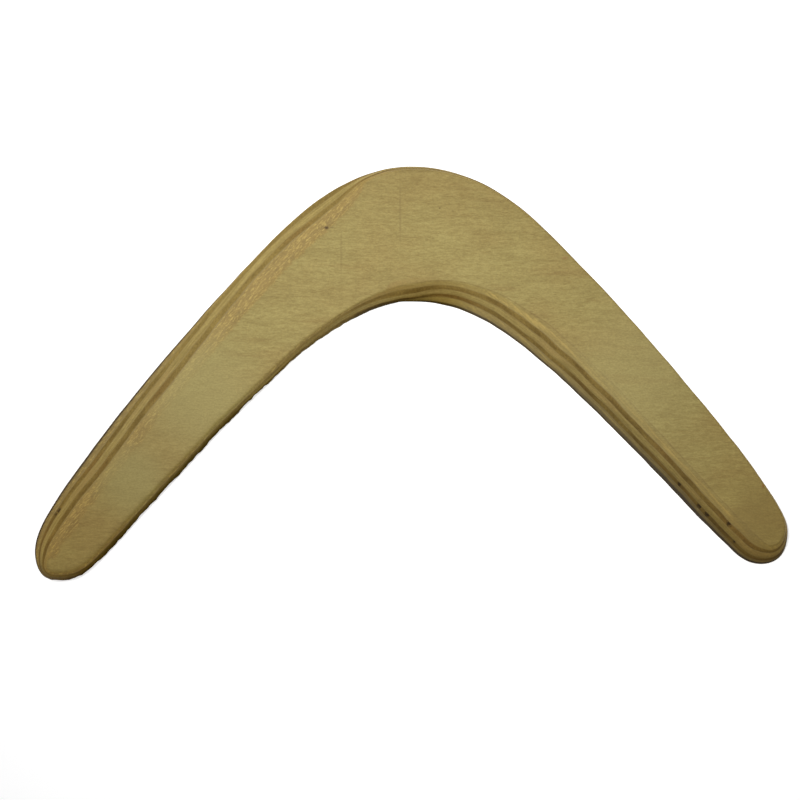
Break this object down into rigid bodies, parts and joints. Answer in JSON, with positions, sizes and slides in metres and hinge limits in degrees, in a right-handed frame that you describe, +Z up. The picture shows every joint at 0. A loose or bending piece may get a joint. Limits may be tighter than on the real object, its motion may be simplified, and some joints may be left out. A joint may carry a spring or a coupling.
{
  "type": "boomerang",
  "caption": "Returning boomerang with two broad arms in a rounded V, carved from layered plywood with a bevelled aerofoil on its upper side and a flat underside.",
  "frame": {"origin": "on the flat underside, below the middle of the plan's bounding box, which lies in the gap between the arms", "axes": "+X along the span from the left tip to the right tip, +Y towards the elbow's outer edge, +Z up out of the carved face"},
  "size_m": [0.4, 0.231, 0.006],
  "materials": {
    "face_wood": "sanded, clear sealed",
    "core_wood": "sanded, clear sealed",
    "crossband_wood": "sanded end grain, clear sealed",
    "glue": "cured resin"
  },
  "bodies": {
    "root": {"back_veneer": "face_wood", "lower_glue_line": "glue", "lower_crossband": "crossband_wood", "lower_core_glue_line": "glue", "core_veneer": "core_wood", "upper_core_glue_line": "glue", "upper_crossband": "crossband_wood", "upper_glue_line": "glue", "face_veneer": "face_wood"}
  },
  "joints": []
}
